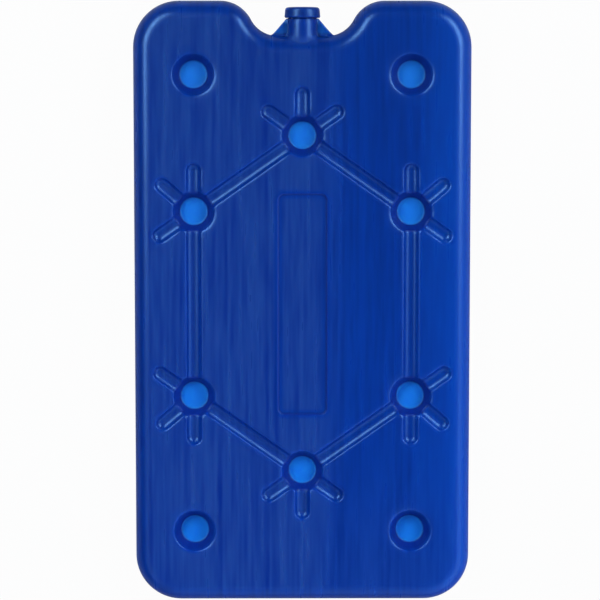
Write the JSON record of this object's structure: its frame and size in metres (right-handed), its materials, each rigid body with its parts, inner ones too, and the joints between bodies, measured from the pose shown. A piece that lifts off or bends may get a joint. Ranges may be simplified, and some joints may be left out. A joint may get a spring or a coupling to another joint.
{
  "type": "reusable ice pack",
  "caption": "Flat rigid cold pack with round tack-off dimples, stiffening channels, a label panel, and a notched end with a stoppered filler neck.",
  "frame": {"origin": "middle of the back face, on the surface that the pack lies on", "axes": "+Y along the pack towards the filler neck, +Z out of the front face, +X across"},
  "size_m": [0.1396, 0.25, 0.015],
  "materials": {
    "bottle": "satin blow-moulded polyethylene with fine die lines along its length",
    "stopper": "smooth moulded polyethylene"
  },
  "bodies": {
    "root": {"bottle": "bottle", "stopper": "stopper"}
  },
  "joints": []
}
